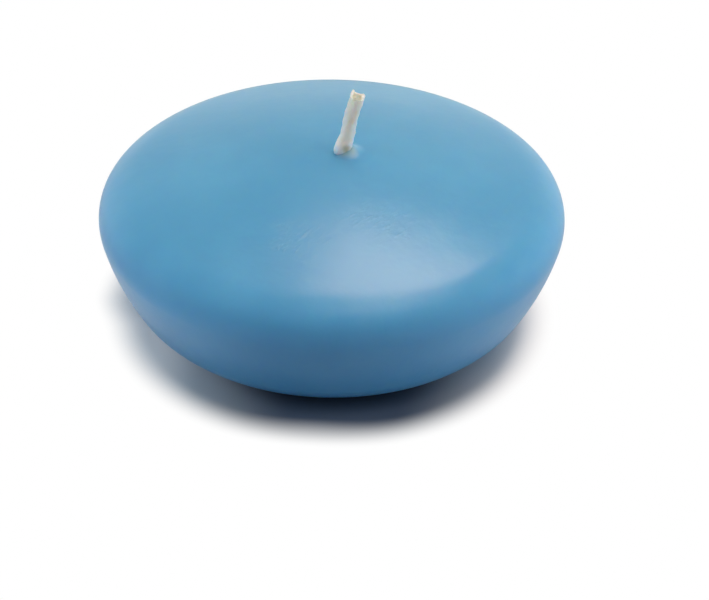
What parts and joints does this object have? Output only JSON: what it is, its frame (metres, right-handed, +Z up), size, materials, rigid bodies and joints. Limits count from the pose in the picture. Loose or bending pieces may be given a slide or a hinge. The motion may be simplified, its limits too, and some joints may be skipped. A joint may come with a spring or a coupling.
{
  "type": "floating candle",
  "caption": "Round floating candle: a domed wax disc that narrows to a small flat base, with a braided wick held by a metal tab.",
  "frame": {"origin": "middle of the flat base, on the surface the candle stands on", "axes": "+Z up along the axis of the wax, +X towards the side to which the wick leans"},
  "size_m": [0.0762, 0.0762, 0.0397],
  "materials": {
    "wax": "satin paraffin wax, sky blue all through, with fine rub marks on the dome",
    "waxed_cotton": "undyed braided cotton, stiffened with wax",
    "tinplate": "pressed tin-plated sheet steel"
  },
  "bodies": {
    "root": {"wax_body": "wax", "wick": "waxed_cotton", "wick_sustainer": "tinplate"}
  },
  "joints": []
}
